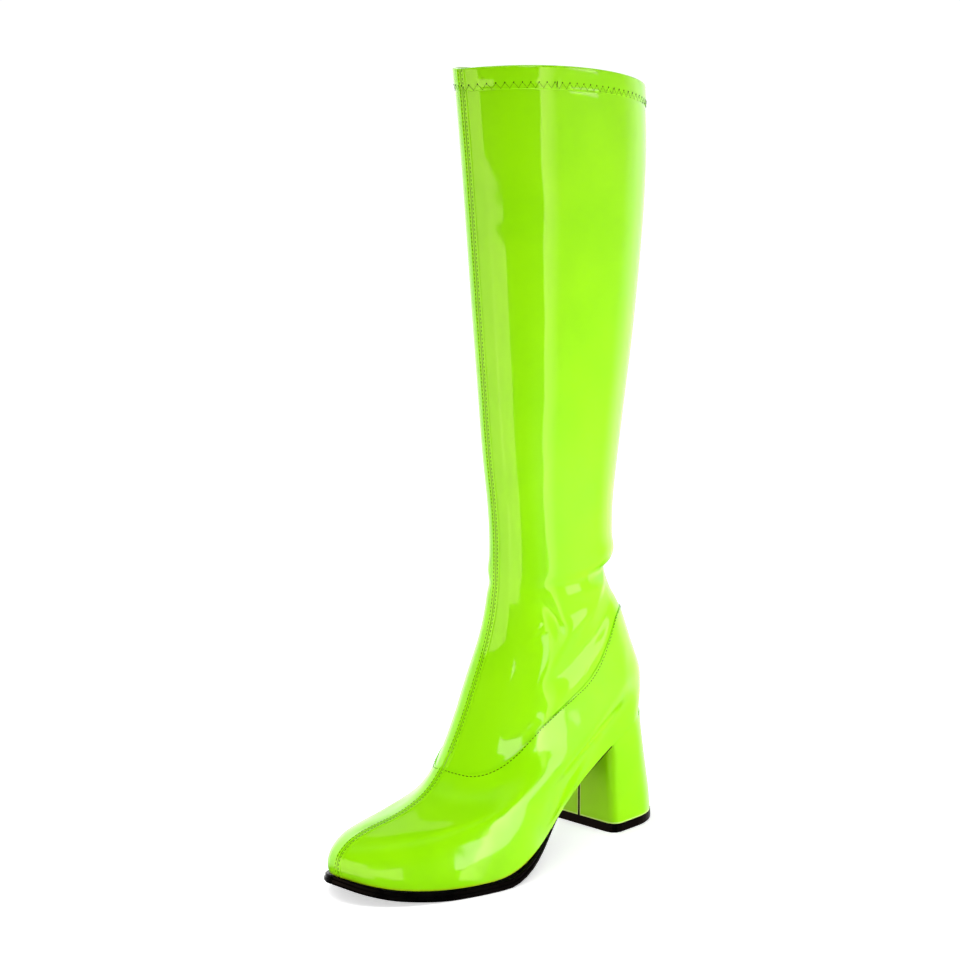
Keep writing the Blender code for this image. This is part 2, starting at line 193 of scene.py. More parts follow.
def tinted(tree, mask, low, high):
    # A colour between two, led by a mask
    mix = addNode(tree, "ShaderNodeMix", data_type="RGBA")
    mix.inputs["A"].default_value = (*low, 1)
    mix.inputs["B"].default_value = (*high, 1)
    wire(tree, mask, mix.inputs["Factor"])
    return mix.outputs["Result"]


def ranged(tree, value, low, high, fromLow=0.0, fromHigh=1.0):
    span = addNode(tree, "ShaderNodeMapRange", {"From Min": fromLow, "From Max": fromHigh,
                                                "To Min": low, "To Max": high})
    wire(tree, value, span.inputs["Value"])
    return span.outputs["Result"]


def bumped(tree, height, shader, strength, distance):
    bump = addNode(tree, "ShaderNodeBump", {"Strength": strength, "Distance": distance})
    wire(tree, height, bump.inputs["Height"])
    wire(tree, bump.outputs["Normal"], shader.inputs["Normal"])


# Camera, light and floor

studio = {
    "azimuth": 40.0, "height": 0.398, "distance": 1.200,   # where the photograph was taken from
    "yaw": 3.62, "pitch": 9.2, "lens": 77.475, "sensor": 36.0,
    "aim": (0.0, -0.07, 0.24),
    # Each lamp: name, first and last azimuth, lowest and highest elevation, distance, turn about
    # its own axis, radiance, what is left of it at the right edge, whether the gloss or the
    # body colour under it sees the lamp, and its tint
    "lamps": [
        ("left", -50, 25, -38, 18, 1.3, 0, 1.9, 1.0, "gloss", "warm"),
        ("front", 24, 55, -23, -2, 1.01, 0, 2.1, 1.0, "gloss", "warm"),
        ("strip", 94.5, 105.5, -34, 20, 1.0, -6, 3.4, 0.25, "gloss", "warm"),
        ("flank", 93, 128, -10, 19, 4.0, 0, 3.4, 0.6, "gloss", "cool"),
        ("right", 106, 180, -70, 45, 1.4, 0, 0.5, 1.0, "gloss", "warm"),
        ("instep", 46, 98, 26.5, 35, 4.0, 0, 3.0, 1.0, "gloss", "cool"),
        ("fold", 83, 95, 12.5, 20, 4.0, 0, 2.8, 1.0, "gloss", "cool"),
        ("streak", 117, 135, 4, 20, 4.0, 0, 2.2, 1.0, "gloss", "cool"),
        ("behind", 195, 250, 30, 52, 1.5, 0, 0.7, 1.0, "gloss", "warm"),
        ("low", -20, 60, -35, -5, 0.5, 0, 1.4, 1.0, "body", "plain"),
        ("top", -5, 65, 66, 86, 1.2, 0, 4.4, 1.0, "body", "plain"),
        ("ground", 85, 150, -27, -15, 0.5, 0, 8.6, 1.0, "body", "plain"),
        ("inner", -110, -45, -27, 2, 0.5, 0, 3.4, 1.0, "body", "plain"),
        ("innerUp", -110, -45, 20, 60, 1.1, 0, 1.0, 1.0, "body", "plain"),
    ],
    "tints": {"warm": (1.0, 0.65, 0.5), "cool": (1.0, 0.5, 0.95), "plain": (1.0, 1.0, 1.0)},
    "fill": 0.24,                   # the room's even light on the body colour
    "backdrop": 1.05,               # what the camera sees of the room
    "glare": 1.35,                  # what the gloss sees of the room, straight behind the boot
    "glareSpread": (0.45, 0.85),    # cosines of the angle from there, where it starts and is full
    # the glare fades out again below and above: shares of it, and the heights they hold at
    "glareBands": ((0, 1, -0.42, -0.28), (1, 0, 0.30, 0.62)),
    "floorSize": 60.0, "floorTone": 0.9, "floorRoughness": 0.9,
    "floorGlow": (0.55, 0.95),      # near the boot and far from it
    "floorFade": (0.2, 1.3),        # metres from the boot
}


def heading(azimuth):
    return Vector((math.sin(math.radians(azimuth)), -math.cos(math.radians(azimuth)), 0))


def makeCamera(s):
    camera = bpy.data.objects.new("camera", bpy.data.cameras.new("camera"))
    bpy.context.collection.objects.link(camera)
    camera.data.sensor_width = s["sensor"]
    camera.data.lens = s["lens"]
    camera.data.clip_start = 0.01
    camera.location = heading(s["azimuth"]) * s["distance"] + Vector((0, 0, s["height"]))
    pitch = math.radians(s["pitch"])
    look = -heading(s["azimuth"] + s["yaw"]) * math.cos(pitch) - Vector((0, 0, math.sin(pitch)))
    camera.rotation_euler = look.to_track_quat("-Z", "Y").to_euler()
    bpy.context.scene.camera = camera


def makeLights(s):
    aim = Vector(s["aim"])
    for name, first, last, low, high, away, roll, radiance, fade, seen, tint in s["lamps"]:
        lamp = bpy.data.lights.new("lamp_" + name, "AREA")
        lamp.shape = "RECTANGLE"
        lamp.color = s["tints"][tint]
        lamp.size = 2 * away * math.tan(math.radians(last - first) / 2)
        lamp.size_y = 2 * away * math.tan(math.radians(high - low) / 2)
        lamp.energy = radiance * math.pi * lamp.size * lamp.size_y
        holder = bpy.data.objects.new(lamp.name, lamp)
        bpy.context.collection.objects.link(holder)
        rise = math.radians(low + high) / 2
        toward = heading((first + last) / 2) * math.cos(rise) + Vector((0, 0, math.sin(rise)))
        holder.location = aim + toward * away
        turn = (-toward).to_track_quat("-Z", "Y") @ Quaternion((0, 0, 1), math.radians(roll))
        holder.rotation_euler = turn.to_euler()
        holder.visible_camera = False
        holder.visible_diffuse, holder.visible_glossy = seen == "body", seen == "gloss"
        # The lamp dims from its left side, as the boot sees it, to a share of its strength
        lamp.use_nodes = True
        tree = lamp.node_tree
        face = addNode(tree, "ShaderNodeNewGeometry")
        split = addNode(tree, "ShaderNodeSeparateXYZ")
        wire(tree, face.outputs["Parametric"], split.inputs[0])
        dimmed = ranged(tree, split.outputs["X"], 1.0, fade)
        wire(tree, dimmed, tree.nodes["Emission"].inputs["Strength"])


def seenOnlyBy(lampName, piece):
    # Keeps one lamp's light on one piece
    lit = bpy.data.collections.new("lit_by_" + lampName)
    lit.objects.link(piece)
    bpy.data.objects[lampName].light_linking.receiver_collection = lit


def makeRoom(s):
    # The gloss sees only a pale backdrop behind the boot, and everything else an even room
    world = bpy.data.worlds.new("studio")
    bpy.context.scene.world = world
    world.use_nodes = True
    tree = world.node_tree
    shade = tree.nodes["Background"]
    shade.inputs["Color"].default_value = (1, 1, 1, 1)
    coords = addNode(tree, "ShaderNodeTexCoord")
    back = addNode(tree, "ShaderNodeVectorMath", operation="DOT_PRODUCT")
    back.inputs[1].default_value = -heading(s["azimuth"])
    glareFrom, glareFull = s["glareSpread"]
    glow = addNode(tree, "ShaderNodeMapRange", {"From Min": glareFrom, "From Max": glareFull,
                                                "To Min": 0, "To Max": s["glare"]})
    rays = addNode(tree, "ShaderNodeLightPath")
    even = addNode(tree, "ShaderNodeMix")
    even.inputs["A"].default_value = s["fill"]
    seen = addNode(tree, "ShaderNodeMix")
    seen.inputs["B"].default_value = s["backdrop"]
    wire(tree, coords.outputs["Generated"], back.inputs[0])
    wire(tree, back.outputs["Value"], glow.inputs["Value"])
    rise = addNode(tree, "ShaderNodeSeparateXYZ")
    wire(tree, coords.outputs["Generated"], rise.inputs[0])
    for band in s["glareBands"]:
        share = addNode(tree, "ShaderNodeMath", operation="MULTIPLY")
        wire(tree, glow.outputs[0], share.inputs[0])
        wire(tree, ranged(tree, rise.outputs["Z"], *band), share.inputs[1])
        glow = share
    wire(tree, rays.outputs["Is Glossy Ray"], even.inputs["Factor"])
    wire(tree, glow.outputs[0], even.inputs["B"])
    wire(tree, rays.outputs["Is Camera Ray"], seen.inputs["Factor"])
    wire(tree, even.outputs["Result"], seen.inputs["A"])
    wire(tree, seen.outputs["Result"], shade.inputs["Strength"])
    bpy.context.scene.view_settings.view_transform = "Standard"


def makeFloor(s):
    bpy.ops.mesh.primitive_plane_add(size=s["floorSize"], location=(0, 0, 0))
    floor = bpy.context.object
    floor.name = "floor"
    material, tree, shader = newMaterial("painted_floor")
    shader.inputs["Base Color"].default_value = (*[s["floorTone"]] * 3, 1)
    shader.inputs["Roughness"].default_value = s["floorRoughness"]
    shader.inputs["Specular IOR Level"].default_value = 0.1
    # The floor lifts softly to the backdrop's white with the distance from the boot
    coords = addNode(tree, "ShaderNodeTexCoord")
    away = addNode(tree, "ShaderNodeVectorMath", operation="LENGTH")
    rays = addNode(tree, "ShaderNodeLightPath")
    seen = addNode(tree, "ShaderNodeMath", operation="MULTIPLY")
    wire(tree, coords.outputs["Object"], away.inputs[0])
    glow = ranged(tree, away.outputs["Value"], *s["floorGlow"], *s["floorFade"])
    wire(tree, glow, seen.inputs[0])
    wire(tree, rays.outputs["Is Camera Ray"], seen.inputs[1])
    wire(tree, seen.outputs["Value"], shader.inputs["Emission Strength"])
    shader.inputs["Emission Color"].default_value = (1, 1, 1, 1)
    floor.data.materials.append(material)
    floor.visible_glossy = False
    floor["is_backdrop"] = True


makeCamera(studio)
makeLights(studio)
makeRoom(studio)
makeFloor(studio)
print("studio ready")


# Shared effects

def makeFilmRipple():
    # The slow unevenness of a glossy film over cloth, with the cloth's faint grain
    group, given, result = newGroup("film_ripple",
                                    {"Scale": 30.0, "Grain": 900.0, "Grain Share": 0.1},
                                    {"Height": "Float", "Mask": "Float"})
    coords = addNode(group, "ShaderNodeTexCoord")
    slow = addNode(group, "ShaderNodeTexNoise", {"Detail": 1.0, "Roughness": 0.4})
    fine = addNode(group, "ShaderNodeTexNoise", {"Detail": 2.0})
    total = addNode(group, "ShaderNodeMath", operation="MULTIPLY_ADD")
    for noise, socket in ((slow, "Scale"), (fine, "Grain")):
        wire(group, coords.outputs["Object"], noise.inputs["Vector"])
        wire(group, given.outputs[socket], noise.inputs["Scale"])
    wire(group, fine.outputs["Fac"], total.inputs[0])
    wire(group, given.outputs["Grain Share"], total.inputs[1])
    wire(group, slow.outputs["Fac"], total.inputs[2])
    wire(group, total.outputs["Value"], result.inputs["Height"])
    wire(group, slow.outputs["Fac"], result.inputs["Mask"])
    return group


def makeScuffs():
    # Small rubbed patches and scratches, 0 where the surface is untouched
    group, given, result = newGroup("scuffs", {"Scale": 60.0, "Amount": 0.4}, {"Mask": "Float"})
    coords = addNode(group, "ShaderNodeTexCoord")
    patches = addNode(group, "ShaderNodeTexNoise", {"Detail": 6.0, "Roughness": 0.7})
    lines = addNode(group, "ShaderNodeTexNoise", {"Detail": 3.0, "Distortion": 1.5})
    stretch = addNode(group, "ShaderNodeMapping")
    stretch.inputs["Scale"].default_value = (1, 0.15, 2.5)
    both = addNode(group, "ShaderNodeMath", operation="MULTIPLY")
    cut = addNode(group, "ShaderNodeMapRange", {"From Min": 0.22, "From Max": 0.42})
    wire(group, coords.outputs["Object"], patches.inputs["Vector"])
    wire(group, coords.outputs["Object"], stretch.inputs["Vector"])
    wire(group, stretch.outputs["Vector"], lines.inputs["Vector"])
    wire(group, given.outputs["Scale"], patches.inputs["Scale"])
    wire(group, given.outputs["Scale"], lines.inputs["Scale"])
    wire(group, patches.outputs["Fac"], both.inputs[0])
    wire(group, lines.outputs["Fac"], both.inputs[1])
    wire(group, both.outputs["Value"], cut.inputs["Value"])
    wire(group, given.outputs["Amount"], cut.inputs["To Max"])
    wire(group, cut.outputs["Result"], result.inputs["Mask"])
    return group


def makeKnit():
    # The crossing ribs of a fine cloth, with some fuzz
    group, given, result = newGroup("cloth_knit", {"Threads": 900.0, "Fuzz": 0.25},
                                    {"Height": "Float", "Mask": "Float"})
    coords = addNode(group, "ShaderNodeTexCoord")
    ribs = []
    for direction in ("X", "Z", "Y"):
        rib = addNode(group, "ShaderNodeTexWave",
                      {"Distortion": 0.6, "Detail": 1.0, "Detail Scale": 3.0},
                      bands_direction=direction)
        wire(group, coords.outputs["Object"], rib.inputs["Vector"])
        wire(group, given.outputs["Threads"], rib.inputs["Scale"])
        ribs.append(rib)
    cross = addNode(group, "ShaderNodeMath", operation="MULTIPLY")
    weave = addNode(group, "ShaderNodeMath", operation="ADD")
    fuzz = addNode(group, "ShaderNodeTexNoise", {"Scale": 2500.0, "Detail": 2.0})
    soft = addNode(group, "ShaderNodeMath", operation="MULTIPLY_ADD")
    wire(group, ribs[0].outputs["Fac"], cross.inputs[0])
    wire(group, ribs[2].outputs["Fac"], cross.inputs[1])
    wire(group, cross.outputs["Value"], weave.inputs[0])
    wire(group, ribs[1].outputs["Fac"], weave.inputs[1])
    wire(group, coords.outputs["Object"], fuzz.inputs["Vector"])
    wire(group, fuzz.outputs["Fac"], soft.inputs[0])
    wire(group, given.outputs["Fuzz"], soft.inputs[1])
    wire(group, weave.outputs["Value"], soft.inputs[2])
    wire(group, soft.outputs["Value"], result.inputs["Height"])
    wire(group, fuzz.outputs["Fac"], result.inputs["Mask"])
    return group


filmRipple, scuffs, knit = makeFilmRipple(), makeScuffs(), makeKnit()


# Materials

finishes = {
    "lime": (0.335, 0.86, 0.001), "limeDeep": (0.310, 0.83, 0.0005),
    "gloss": (1.0, 1.0, 0.85), "coverGloss": (0.5, 0.6, 0.15),
    "glue": (0.46, 0.66, 0.010),        # the pale line over the sole
    # The stitches' thread is lime: the two thread greens here are darker as painted shade of the sunk
    # stitches, and the hole colour is painted shade in needle holes and in the front seam's groove
    "thread": (0.035, 0.150, 0.001), "hemThreadShade": (0.19, 0.50, 0.004), "hole": (0.02, 0.07, 0.002),
    # Painted shade in the heel cover's join, and painted highlights beside it and along the lift
    "join": (0.004, 0.012, 0.002), "edgeHighlight": (0.62, 0.92, 0.20),
    "black": (0.0008, 0.0008, 0.0009), "blackWorn": (0.004, 0.004, 0.004),
    # Each cloth's lighter tone goes on its raised ribs and its darker one in the hollows between them:
    # painted shade
    "cloth": (0.40, 0.40, 0.38), "clothLight": (0.52, 0.52, 0.50),
    "sock": (0.34, 0.33, 0.30), "sockLight": (0.44, 0.43, 0.40),
}


def lined(tree, tone, attribute, colour, low, high, most):
    # Paints a thin line of a colour, up to a share of it, between two values of an attribute
    edge = addNode(tree, "ShaderNodeAttribute", attribute_name=attribute)
    line = addNode(tree, "ShaderNodeMix", data_type="RGBA")
    line.inputs["B"].default_value = (*colour, 1)
    wire(tree, ranged(tree, edge.outputs["Fac"], 0, most, low, high), line.inputs["Factor"])
    wire(tree, tone, line.inputs["A"])
    return line.outputs["Result"]


def patentFinish(name, lines, gloss, ripple, grainShare, bumpDepth, scuffAmount, smooth, rubbed):
    # Glossy lime film over cloth. Attributes paint its thin lines: the glue over the sole, and painted
    # shade and painted highlights at its seams and joins
    material, tree, shader = newMaterial(name)
    film = useGroup(tree, filmRipple, **{"Scale": ripple, "Grain Share": grainShare})
    worn = useGroup(tree, scuffs, Scale=45.0, Amount=scuffAmount)
    depth = ranged(tree, film.outputs["Mask"], 0, 1, fromLow=0.35, fromHigh=0.65)
    tone = tinted(tree, depth, finishes["limeDeep"], finishes["lime"])
    for line in lines:
        tone = lined(tree, tone, *line)
    wire(tree, tone, shader.inputs["Base Color"])
    wire(tree, ranged(tree, worn.outputs["Mask"], smooth, rubbed), shader.inputs["Roughness"])
    shader.inputs["IOR"].default_value = 1.52
    shader.inputs["Specular IOR Level"].default_value = 0.62
    shader.inputs["Specular Tint"].default_value = (*gloss, 1)
    shader.inputs["Coat Weight"].default_value = 0.15
    shader.inputs["Coat Roughness"].default_value = 0.3
    bumped(tree, film.outputs["Height"], shader, strength=1.0, distance=bumpDepth)
    return material


def rubberFinish(name, base, worn, smooth, rubbed, amount, grain):
    material, tree, shader = newMaterial(name)
    marks = useGroup(tree, scuffs, Scale=70.0, Amount=amount)
    film = useGroup(tree, filmRipple, Scale=120.0, Grain=grain, **{"Grain Share": 0.5})
    wire(tree, tinted(tree, marks.outputs["Mask"], base, worn), shader.inputs["Base Color"])
    wire(tree, ranged(tree, marks.outputs["Mask"], smooth, rubbed), shader.inputs["Roughness"])
    shader.inputs["IOR"].default_value = 1.35
    shader.inputs["Specular IOR Level"].default_value = 0.08
    bumped(tree, film.outputs["Height"], shader, strength=0.6, distance=0.00012)
    return material


def clothFinish(name, low, high, threads, fuzz):
    material, tree, shader = newMaterial(name)
    cloth = useGroup(tree, knit, Threads=threads, Fuzz=fuzz)
    # The raised ribs take the lighter tone and the hollows the darker one, painted shade, with the
    # fuzz's noise mixed in
    ribShade = ranged(tree, cloth.outputs["Height"], 0, 1, fromLow=0.2, fromHigh=1.5)
    wire(tree, tinted(tree, ribShade, low, high), shader.inputs["Base Color"])
    wire(tree, ranged(tree, cloth.outputs["Mask"], 0.82, 0.95), shader.inputs["Roughness"])
    shader.inputs["Specular IOR Level"].default_value = 0.2
    shader.inputs["Sheen Weight"].default_value = 0.25
    shader.inputs["Sheen Roughness"].default_value = 0.5
    bumped(tree, cloth.outputs["Height"], shader, strength=0.5, distance=0.0002)
    return material


def threadFinish(name, colour):
    material, tree, shader = newMaterial(name)
    coords = addNode(tree, "ShaderNodeTexCoord")
    twist = addNode(tree, "ShaderNodeTexWave", {"Scale": 1400.0, "Distortion": 1.0},
                    bands_direction="DIAGONAL")
    shaded = tuple(0.6 * part for part in colour)
    wire(tree, coords.outputs["Object"], twist.inputs["Vector"])
    wire(tree, tinted(tree, twist.outputs["Fac"], shaded, colour), shader.inputs["Base Color"])
    shader.inputs["Roughness"].default_value = 0.7
    shader.inputs["Specular IOR Level"].default_value = 0.02
    bumped(tree, twist.outputs["Fac"], shader, strength=0.4, distance=0.0001)
    return material


# The lines in the film: attribute, colour, where each one starts and is full, and how strong it is
# Painted shade in the front seam's groove, in the needle holes' near-black
seamShadeLine = ("front_seam", finishes["hole"], 0.88, 0.99, 0.75)
glueLine = ("feather", finishes["glue"], 0.50, 0.75, 0.8)
# Painted highlights beside the heel cover's join and along the lift
edgeHighlightLine = ("cover_edge", finishes["edgeHighlight"], 0.60, 0.80, 0.9)
# Painted shade in the heel cover's join groove
joinShadeLine = ("cover_join", finishes["join"], 0.60, 0.80, 1.0)
limePatent = patentFinish("lime_patent", [seamShadeLine], finishes["gloss"], ripple=30.0, grainShare=0.012,
                          bumpDepth=0.0005, scuffAmount=0.3, smooth=0.035, rubbed=0.12)
limeFoot = patentFinish("lime_patent_foot", [glueLine, seamShadeLine], finishes["gloss"], ripple=48.0,
                        grainShare=0.012, bumpDepth=0.0011, scuffAmount=0.5, smooth=0.05, rubbed=0.14)
limeCover = patentFinish("lime_cover", [edgeHighlightLine, joinShadeLine], finishes["coverGloss"], ripple=40.0,
                         grainShare=0.02, bumpDepth=0.0003, scuffAmount=0.5, smooth=0.20, rubbed=0.30)
soleRubber = rubberFinish("sole_rubber", finishes["black"], finishes["blackWorn"],
                          smooth=0.26, rubbed=0.5, amount=0.5, grain=1500.0)
liftRubber = rubberFinish("lift_rubber_worn", finishes["black"], finishes["blackWorn"],
                          smooth=0.30, rubbed=0.5, amount=0.8, grain=2200.0)
liningCloth = clothFinish("lining_cloth", finishes["cloth"], finishes["clothLight"],
                          threads=700.0, fuzz=0.3)
sockCloth = clothFinish("sock_cloth", finishes["sock"], finishes["sockLight"],
                        threads=1100.0, fuzz=0.4)
# The front and side rows' thread, painted dark green as painted shade of the sunk stitches
threadShadeFinish = threadFinish("dark_thread", finishes["thread"])
# The hem's thread, painted a darker green than its lime as painted shade
hemThreadShade = threadFinish("hem_thread", finishes["hemThreadShade"])
# Near-black marks at the hem's turns and where the zigzag closes: painted shade inside the needle
# holes and the join's gap
holeShadeFinish = threadFinish("needle_hole", finishes["hole"])
print("materials ready")


# Upper: foot panel, leg panel and lining

upperShape = {
    "seamRow": 31,          # the foot panel's upper edge
    "lastRow": 49,          # the wall's lower edge, on the sole
    "foldRow": -3,          # where the folded hem ends on the inside
    "seamStep": 0.0005,     # how far the leg panel tucks in under the foot panel's edge
    "tuckStep": 0.0006,     # and how much further one row down
    "lap": 0.0009,          # the foot panel's edge, turned in
    "liningDepth": 0.0013,  # from the wall's outer face to the lining
    "grooveDepth": 0.0004,  # the front seam's
    "grooveFrom": 0.74, "groovePower": 1.5,
    "hemTrough": 0.00035, "hemTroughWidth": 0.0022,
    "glueEnd": -0.10,       # the glue shows in front of this
    # the wall below this row is straightened, from a few columns past the front seam back to
    # just before the heel
    "waistRow": 37, "waistColumns": (8, 12), "waistBack": -0.034, "waistFade": 0.02,
    "smoothing": 3, "liningSmoothing": 2, "smoothAngle": 40,
    # how sharp some rows and columns stay when the wall is smoothed
    "rowEdges": {0: 0.75, -1: 0.75, 1: 0.3, 2: 0.3, 30: 0.8, 31: 1.0, 49: 0.7, 50: 0.7},
    "columnEdges": {1: 0.5, 2: 0.5, -1: 0.5, -2: 0.5},
}

# Creases of the soft leg, listed in millimetres: a line of points, then each one's half
# width and its depth, inward where it is positive
creases = {
    "ankle": ([(14, -86, 154), (19, -77, 154), (24, -58, 155), (24, -35, 156), (17, -17, 156),
               (8, -10, 155), (-6, -9, 154)], 4.4, 1.4),
    "notch": ([(25, -46, 155), (24, -35, 156), (20, -22, 156), (12, -12, 156), (2, -8, 155)],
              4.2, 3.2),
    "notchRoll": ([(24, -40, 167), (21, -24, 168), (13, -13, 168), (2, -8, 167)], 5.5, -1.4),
    "bagTop": ([(22, -20, 139), (26, -30, 132), (28, -42, 124), (29, -56, 117), (30, -71, 109),
                (29, -84, 102)], 4.6, 1.1),
    "bagRidge": ([(24, -26, 143), (26, -38, 138), (28, -52, 133), (29, -66, 127), (27, -80, 120)],
                 5.5, -0.9),
    "twist": ([(18, -84, 150), (22, -77, 143), (25, -73, 134), (27, -73, 126), (27, -79, 118)],
              4.6, 0.8),
    "twistPatch": ([(20, -87, 133), (22, -85, 127)], 5.5, -0.5),
    "lowBag": ([(32, -52, 106), (32, -66, 99), (31, -80, 93)], 5.5, -0.5),
    "instepOne": ([(24, -103, 84), (31, -90, 85), (34, -76, 86), (34, -62, 90)], 4.5, 0.3),
    "instepTwo": ([(30, -104, 70), (36, -92, 68), (39, -80, 68), (39, -68, 72)], 4.5, 0.35),
    # the inner side, which the photograph hides, folds in the same places
    "innerAnkle": ([(-3, -96, 155), (-12, -90, 155), (-19, -77, 156), (-23, -58, 158),
                    (-22, -35, 157)], 3.8, 1.3),
    "innerRoll": ([(-4, -95, 163), (-12, -90, 163), (-20, -76, 164), (-24, -58, 166)], 4.5, -0.7),
    "innerBagTop": ([(-20, -18, 137), (-24, -38, 128), (-26, -54, 121), (-26, -70, 113),
                     (-22, -88, 106)], 4.0, 1.0),
    "innerBag": ([(-23, -36, 120), (-25, -58, 111), (-25, -76, 102)], 5.0, -0.8),
    "innerInstep": ([(-10, -112, 85), (-18, -106, 84), (-24, -94, 84), (-27, -78, 87)], 3.4, 0.7),
    "achillesRoll": ([(2, -7, 166), (-6, -7, 167), (-16, -12, 166)], 5.0, -0.7),
    "hemJoin": ([(28, -79.5, 434), (28, -79.3, 430), (28, -79.2, 426)], 0.8, 0.35),
}
# Every crease: its reach in half widths, the shares of its length where its ends stop fading and
# the power they fade with, the shortest step along it, and the steps of a smooth line between
# two of its points
creaseShape = {"reach": 2.6, "ends": (0.04, 0.96), "endPower": 0.7, "leastStep": 0.001,
               "lineSteps": 24}


def keepEdges(piece, s):
    # Marks the rows and columns of the wall that smoothing leaves crisp
    rows, columns = net.shape
    values = {}
    for row, value in s["rowEdges"].items():
        for column in range(columns):
            pair = net[row % rows][column], net[row % rows][(column + 1) % columns]
            values[frozenset(map(int, pair))] = value
    for column, value in s["columnEdges"].items():
        for row in range(s["lastRow"]):
            values[frozenset((int(net[row][column]), int(net[row + 1][column])))] = value
    crisp = piece.data.attributes.new("crease_edge", "FLOAT", "EDGE")
    for edge in piece.data.edges:
        crisp.data[edge.index].value = values.get(frozenset(edge.vertices), 0)


def paintRows(piece, name, corners):
    # 1 on some corners of the wall and 0 elsewhere, for lines in the material
    paint = piece.data.attributes.new(name, "FLOAT", "POINT")
    for corner in corners:
        paint.data[int(corner)].value = 1.0


def panel(name, rows, moved):
    # Keeps some rows of the wall as a piece of its own, with some of their corners moved
    piece = wallCopy.copy()
    piece.data = wallCopy.data.copy()
    piece.name = name
    bpy.context.collection.objects.link(piece)
    for corner, place in moved.items():
        piece.data.vertices[corner].co = place
    keep = {int(corner) for row in rows for corner in net[row % len(net)]}
    takeUp(piece)
    bpy.ops.object.mode_set(mode="EDIT")
    bpy.ops.mesh.select_mode(type="VERT")
    bpy.ops.mesh.select_all(action="DESELECT")
    bpy.ops.object.mode_set(mode="OBJECT")
    for corner in piece.data.vertices:
        corner.select = corner.index not in keep
    bpy.ops.object.mode_set(mode="EDIT")
    bpy.ops.mesh.delete(type="VERT")
    bpy.ops.object.mode_set(mode="OBJECT")
    return piece


def inwardOf(row, column):
    # From a corner of the outer wall towards its partner on the inner wall
    outer = wallCopy.data.vertices[int(net[row][column])].co
    inner = wallCopy.data.vertices[int(net[len(net) - 1 - row][column])].co
    return (inner - outer).normalized()


def cornerAt(row, column, inward=0.0):
    return wallCopy.data.vertices[int(net[row][column])].co + inwardOf(row, column) * inward


def smoothLine(points, step):
    # Points every step along a smooth line through the given ones
    p = np.array([tuple(q) for q in points], float)
    p = np.vstack([2 * p[0] - p[1], p, 2 * p[-1] - p[-2]])
    t = np.linspace(0, 1, creaseShape["lineSteps"], endpoint=False)[:, None]
    run = [0.5 * (2 * b + (c - a) * t + (2 * a - 5 * b + 4 * c - d) * t**2
                  + (3 * b - a - 3 * c + d) * t**3)
           for a, b, c, d in zip(p[:-3], p[1:-2], p[2:-1], p[3:])]
    run = np.vstack(run + [p[-2:-1]])
    walked = np.concatenate([[0], np.cumsum(np.linalg.norm(np.diff(run, axis=0), axis=1))])
    stops = np.arange(0, walked[-1] + 1e-9, step)
    return np.stack([np.interp(stops, walked, run[:, k]) for k in range(3)], 1)


def foldDepth(places, lines, s):
    # How far each place goes inward for all the lines together. A line: points, half width,
    # depth and whether its ends fade
    depth = np.zeros(len(places))
    for points, halfWidth, deep, fades in lines:
        line = smoothLine(points, max(halfWidth / 3, s["leastStep"]))
        share = np.linspace(0, 1, len(line))
        reach = s["reach"] * halfWidth
        inside = (places >= line.min(0) - reach) & (places <= line.max(0) + reach)
        near = np.flatnonzero(inside.all(1))
        closest, gaps = np.zeros(len(near), int), np.full(len(near), np.inf)
        for k, point in enumerate(line):
            gap = ((places[near] - point) ** 2).sum(1)
            closer = gap < gaps
            closest[closer], gaps[closer] = k, gap[closer]
        ends = np.sin(np.pi * np.clip(share[closest], *s["ends"])) ** s["endPower"] if fades else 1
        depth[near] += deep * ends * np.exp(-gaps / halfWidth**2)
    return depth


def pressFolds(piece, lines, s, turned):
    # Creases, the hem's trough and the front seam's groove. Turned is -1 for faces looking inward
    mesh = piece.data
    places = np.empty(len(mesh.vertices) * 3)
    mesh.vertices.foreach_get("co", places)
    places = places.reshape(-1, 3)
    normals = np.array([tuple(corner.normal) for corner in mesh.vertices])
    depth = foldDepth(places, lines, creaseShape) * turned
    if turned == 1:
        seam = np.empty(len(mesh.vertices))
        mesh.attributes["front_seam"].data.foreach_get("value", seam)
        near = np.clip((seam - s["grooveFrom"]) / (1 - s["grooveFrom"]), 0, 1)
        depth += s["grooveDepth"] * near ** s["groovePower"]
    places -= normals * depth[:, None]
    mesh.vertices.foreach_set("co", places.ravel())
    mesh.update()


def straightenWaist(s):
    # Takes the hollow out of the wall just above the sole, behind the ball of the foot
    places = wallCopy.data.vertices
    top, foot = s["waistRow"], s["lastRow"] - 1
    first, full = s["waistColumns"]
    for column in range(net.shape[1]):
        aside = min(column, net.shape[1] - column)
        high, low = places[int(net[top][column])].co, places[int(net[foot][column])].co
        share = min(max((aside - first) / (full - first), 0), 1)
        share *= min(max((s["waistBack"] - low.y) / s["waistFade"], 0), 1)
        for row in range(top + 1, foot):
            for corner in (net[row][column], net[len(net) - 1 - row][column]):
                place = places[int(corner)].co
                t = min(max((high.z - place.z) / (high.z - low.z), 0), 1)
                outer = places[int(net[row][column])].co
                shift = (high.lerp(low, t) - outer) * share
                if shift.dot(Vector((outer.x, 0, 0))) < 0:
                    continue
                place.x += shift.x
                place.y += shift.y


